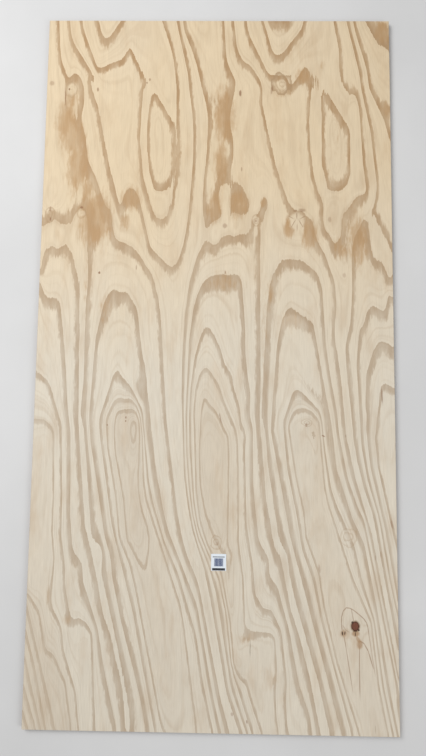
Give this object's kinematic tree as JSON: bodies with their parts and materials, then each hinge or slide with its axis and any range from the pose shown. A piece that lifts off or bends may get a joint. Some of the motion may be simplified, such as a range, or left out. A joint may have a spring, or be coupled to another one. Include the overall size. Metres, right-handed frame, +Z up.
{
  "type": "plywood sheet",
  "caption": "Flat rectangular sheet of pine plywood with a sanded good face, square sawn edges and a small open split in its face veneer.",
  "frame": {"origin": "middle of the underside, on the surface that the sheet lies on", "axes": "+X across the face grain, +Y along the face grain and the long edges, +Z up out of the good face"},
  "size_m": [1.2192, 2.4384, 0.0182],
  "materials": {
    "pine_veneer": "matte",
    "label_paper": "matte"
  },
  "bodies": {
    "root": {"plywood_sheet": "pine_veneer"}
  },
  "joints": []
}
